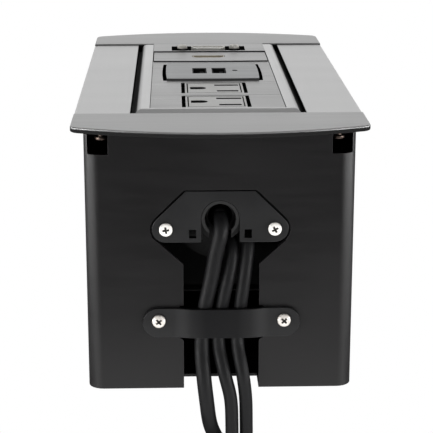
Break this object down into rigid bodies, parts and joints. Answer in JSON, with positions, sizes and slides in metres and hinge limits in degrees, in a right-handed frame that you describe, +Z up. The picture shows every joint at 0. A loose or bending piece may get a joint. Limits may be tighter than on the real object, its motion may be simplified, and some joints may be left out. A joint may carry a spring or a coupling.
{
  "type": "desk power strip",
  "caption": "Recessed desk power and data box whose core turns over in a trim flange, with cables clamped at one end.",
  "frame": {"origin": "middle of the flat underside of the housing, 103.7 mm below the plane on which the flange rests", "axes": "+Z up out of the worktop, +Y along the length away from the cable end, +X to the right seen from the cable end"},
  "size_m": [0.112, 0.24, 0.147],
  "materials": {
    "housing_paint": "fine-texture matt black powder coat",
    "cap_metal": "satin, brushed across the width",
    "panel_metal": "satin, brushed along the length",
    "frame_metal": "satin with darker sloping ends",
    "plate_metal": "fine brushed",
    "outlet_plastic": "satin grey moulding",
    "black_plastic": "fine spark-eroded black",
    "bush_plastic": "smooth acetal",
    "cable_jacket": "satin black jacket",
    "nickel": "bright nickel plate",
    "brass": "bare brass",
    "board": "solder-masked laminate",
    "led_lens": "smoked lens, unlit",
    "black_oxide": "black oxide, satin, slightly brown"
  },
  "bodies": {
    "housing": {"housing_shell": "housing_paint", "front_end_cap": "cap_metal", "rear_end_cap": "cap_metal", "side_panel_left": "panel_metal", "side_panel_right": "panel_metal", "front_bearing_plate": "black_plastic", "rear_bearing_plate": "black_plastic", "front_bush": "bush_plastic", "rear_bush": "bush_plastic", "cable_strap": "black_plastic", "stop_pin": "nickel", "power_cable": "cable_jacket", "hdmi_cable": "cable_jacket", "vga_cable": "cable_jacket", "front_bearing_screw_left": "nickel", "front_bearing_screw_right": "nickel", "rear_bearing_screw_left": "nickel", "rear_bearing_screw_right": "nickel", "strap_screw_left": "nickel", "strap_screw_right": "nickel", "front_cap_screw_left": "black_oxide", "front_cap_screw_right": "black_oxide", "rear_cap_screw_left": "black_oxide", "rear_cap_screw_right": "black_oxide"},
    "flip_core": {"core_frame": "frame_metal", "core_lid": "frame_metal", "core_shell_left": "black_plastic", "core_shell_right": "black_plastic", "core_end_front": "black_plastic", "core_end_rear": "black_plastic", "front_core_screw_left": "nickel", "front_core_screw_right": "nickel", "rear_core_screw_left": "nickel", "rear_core_screw_right": "nickel", "socket_plate_1": "plate_metal", "socket_plate_2": "plate_metal", "outlet_1": "outlet_plastic", "outlet_2": "outlet_plastic", "live_busbar": "brass", "neutral_busbar": "brass", "earth_busbar": "brass", "usb_plate": "plate_metal", "usb_module": "plate_metal", "usb_port_1": "black_plastic", "usb_port_2": "black_plastic", "power_led": "led_lens", "usb_board": "board", "hdmi_plate": "plate_metal", "hdmi_port": "brass", "vga_plate": "plate_metal", "vga_port": "nickel", "vga_insert": "black_plastic", "vga_nut_left": "nickel", "vga_nut_right": "nickel", "power_inner_run": "cable_jacket", "hdmi_inner_run": "cable_jacket", "vga_inner_run": "cable_jacket"}
  },
  "joints": [
    {"name": "core_flip", "type": "hinge", "parent": "housing", "child": "flip_core", "pos_m": [0, 0, 0.0689], "axis": [0, 1, 0], "range_deg": [0, 180]}
  ]
}
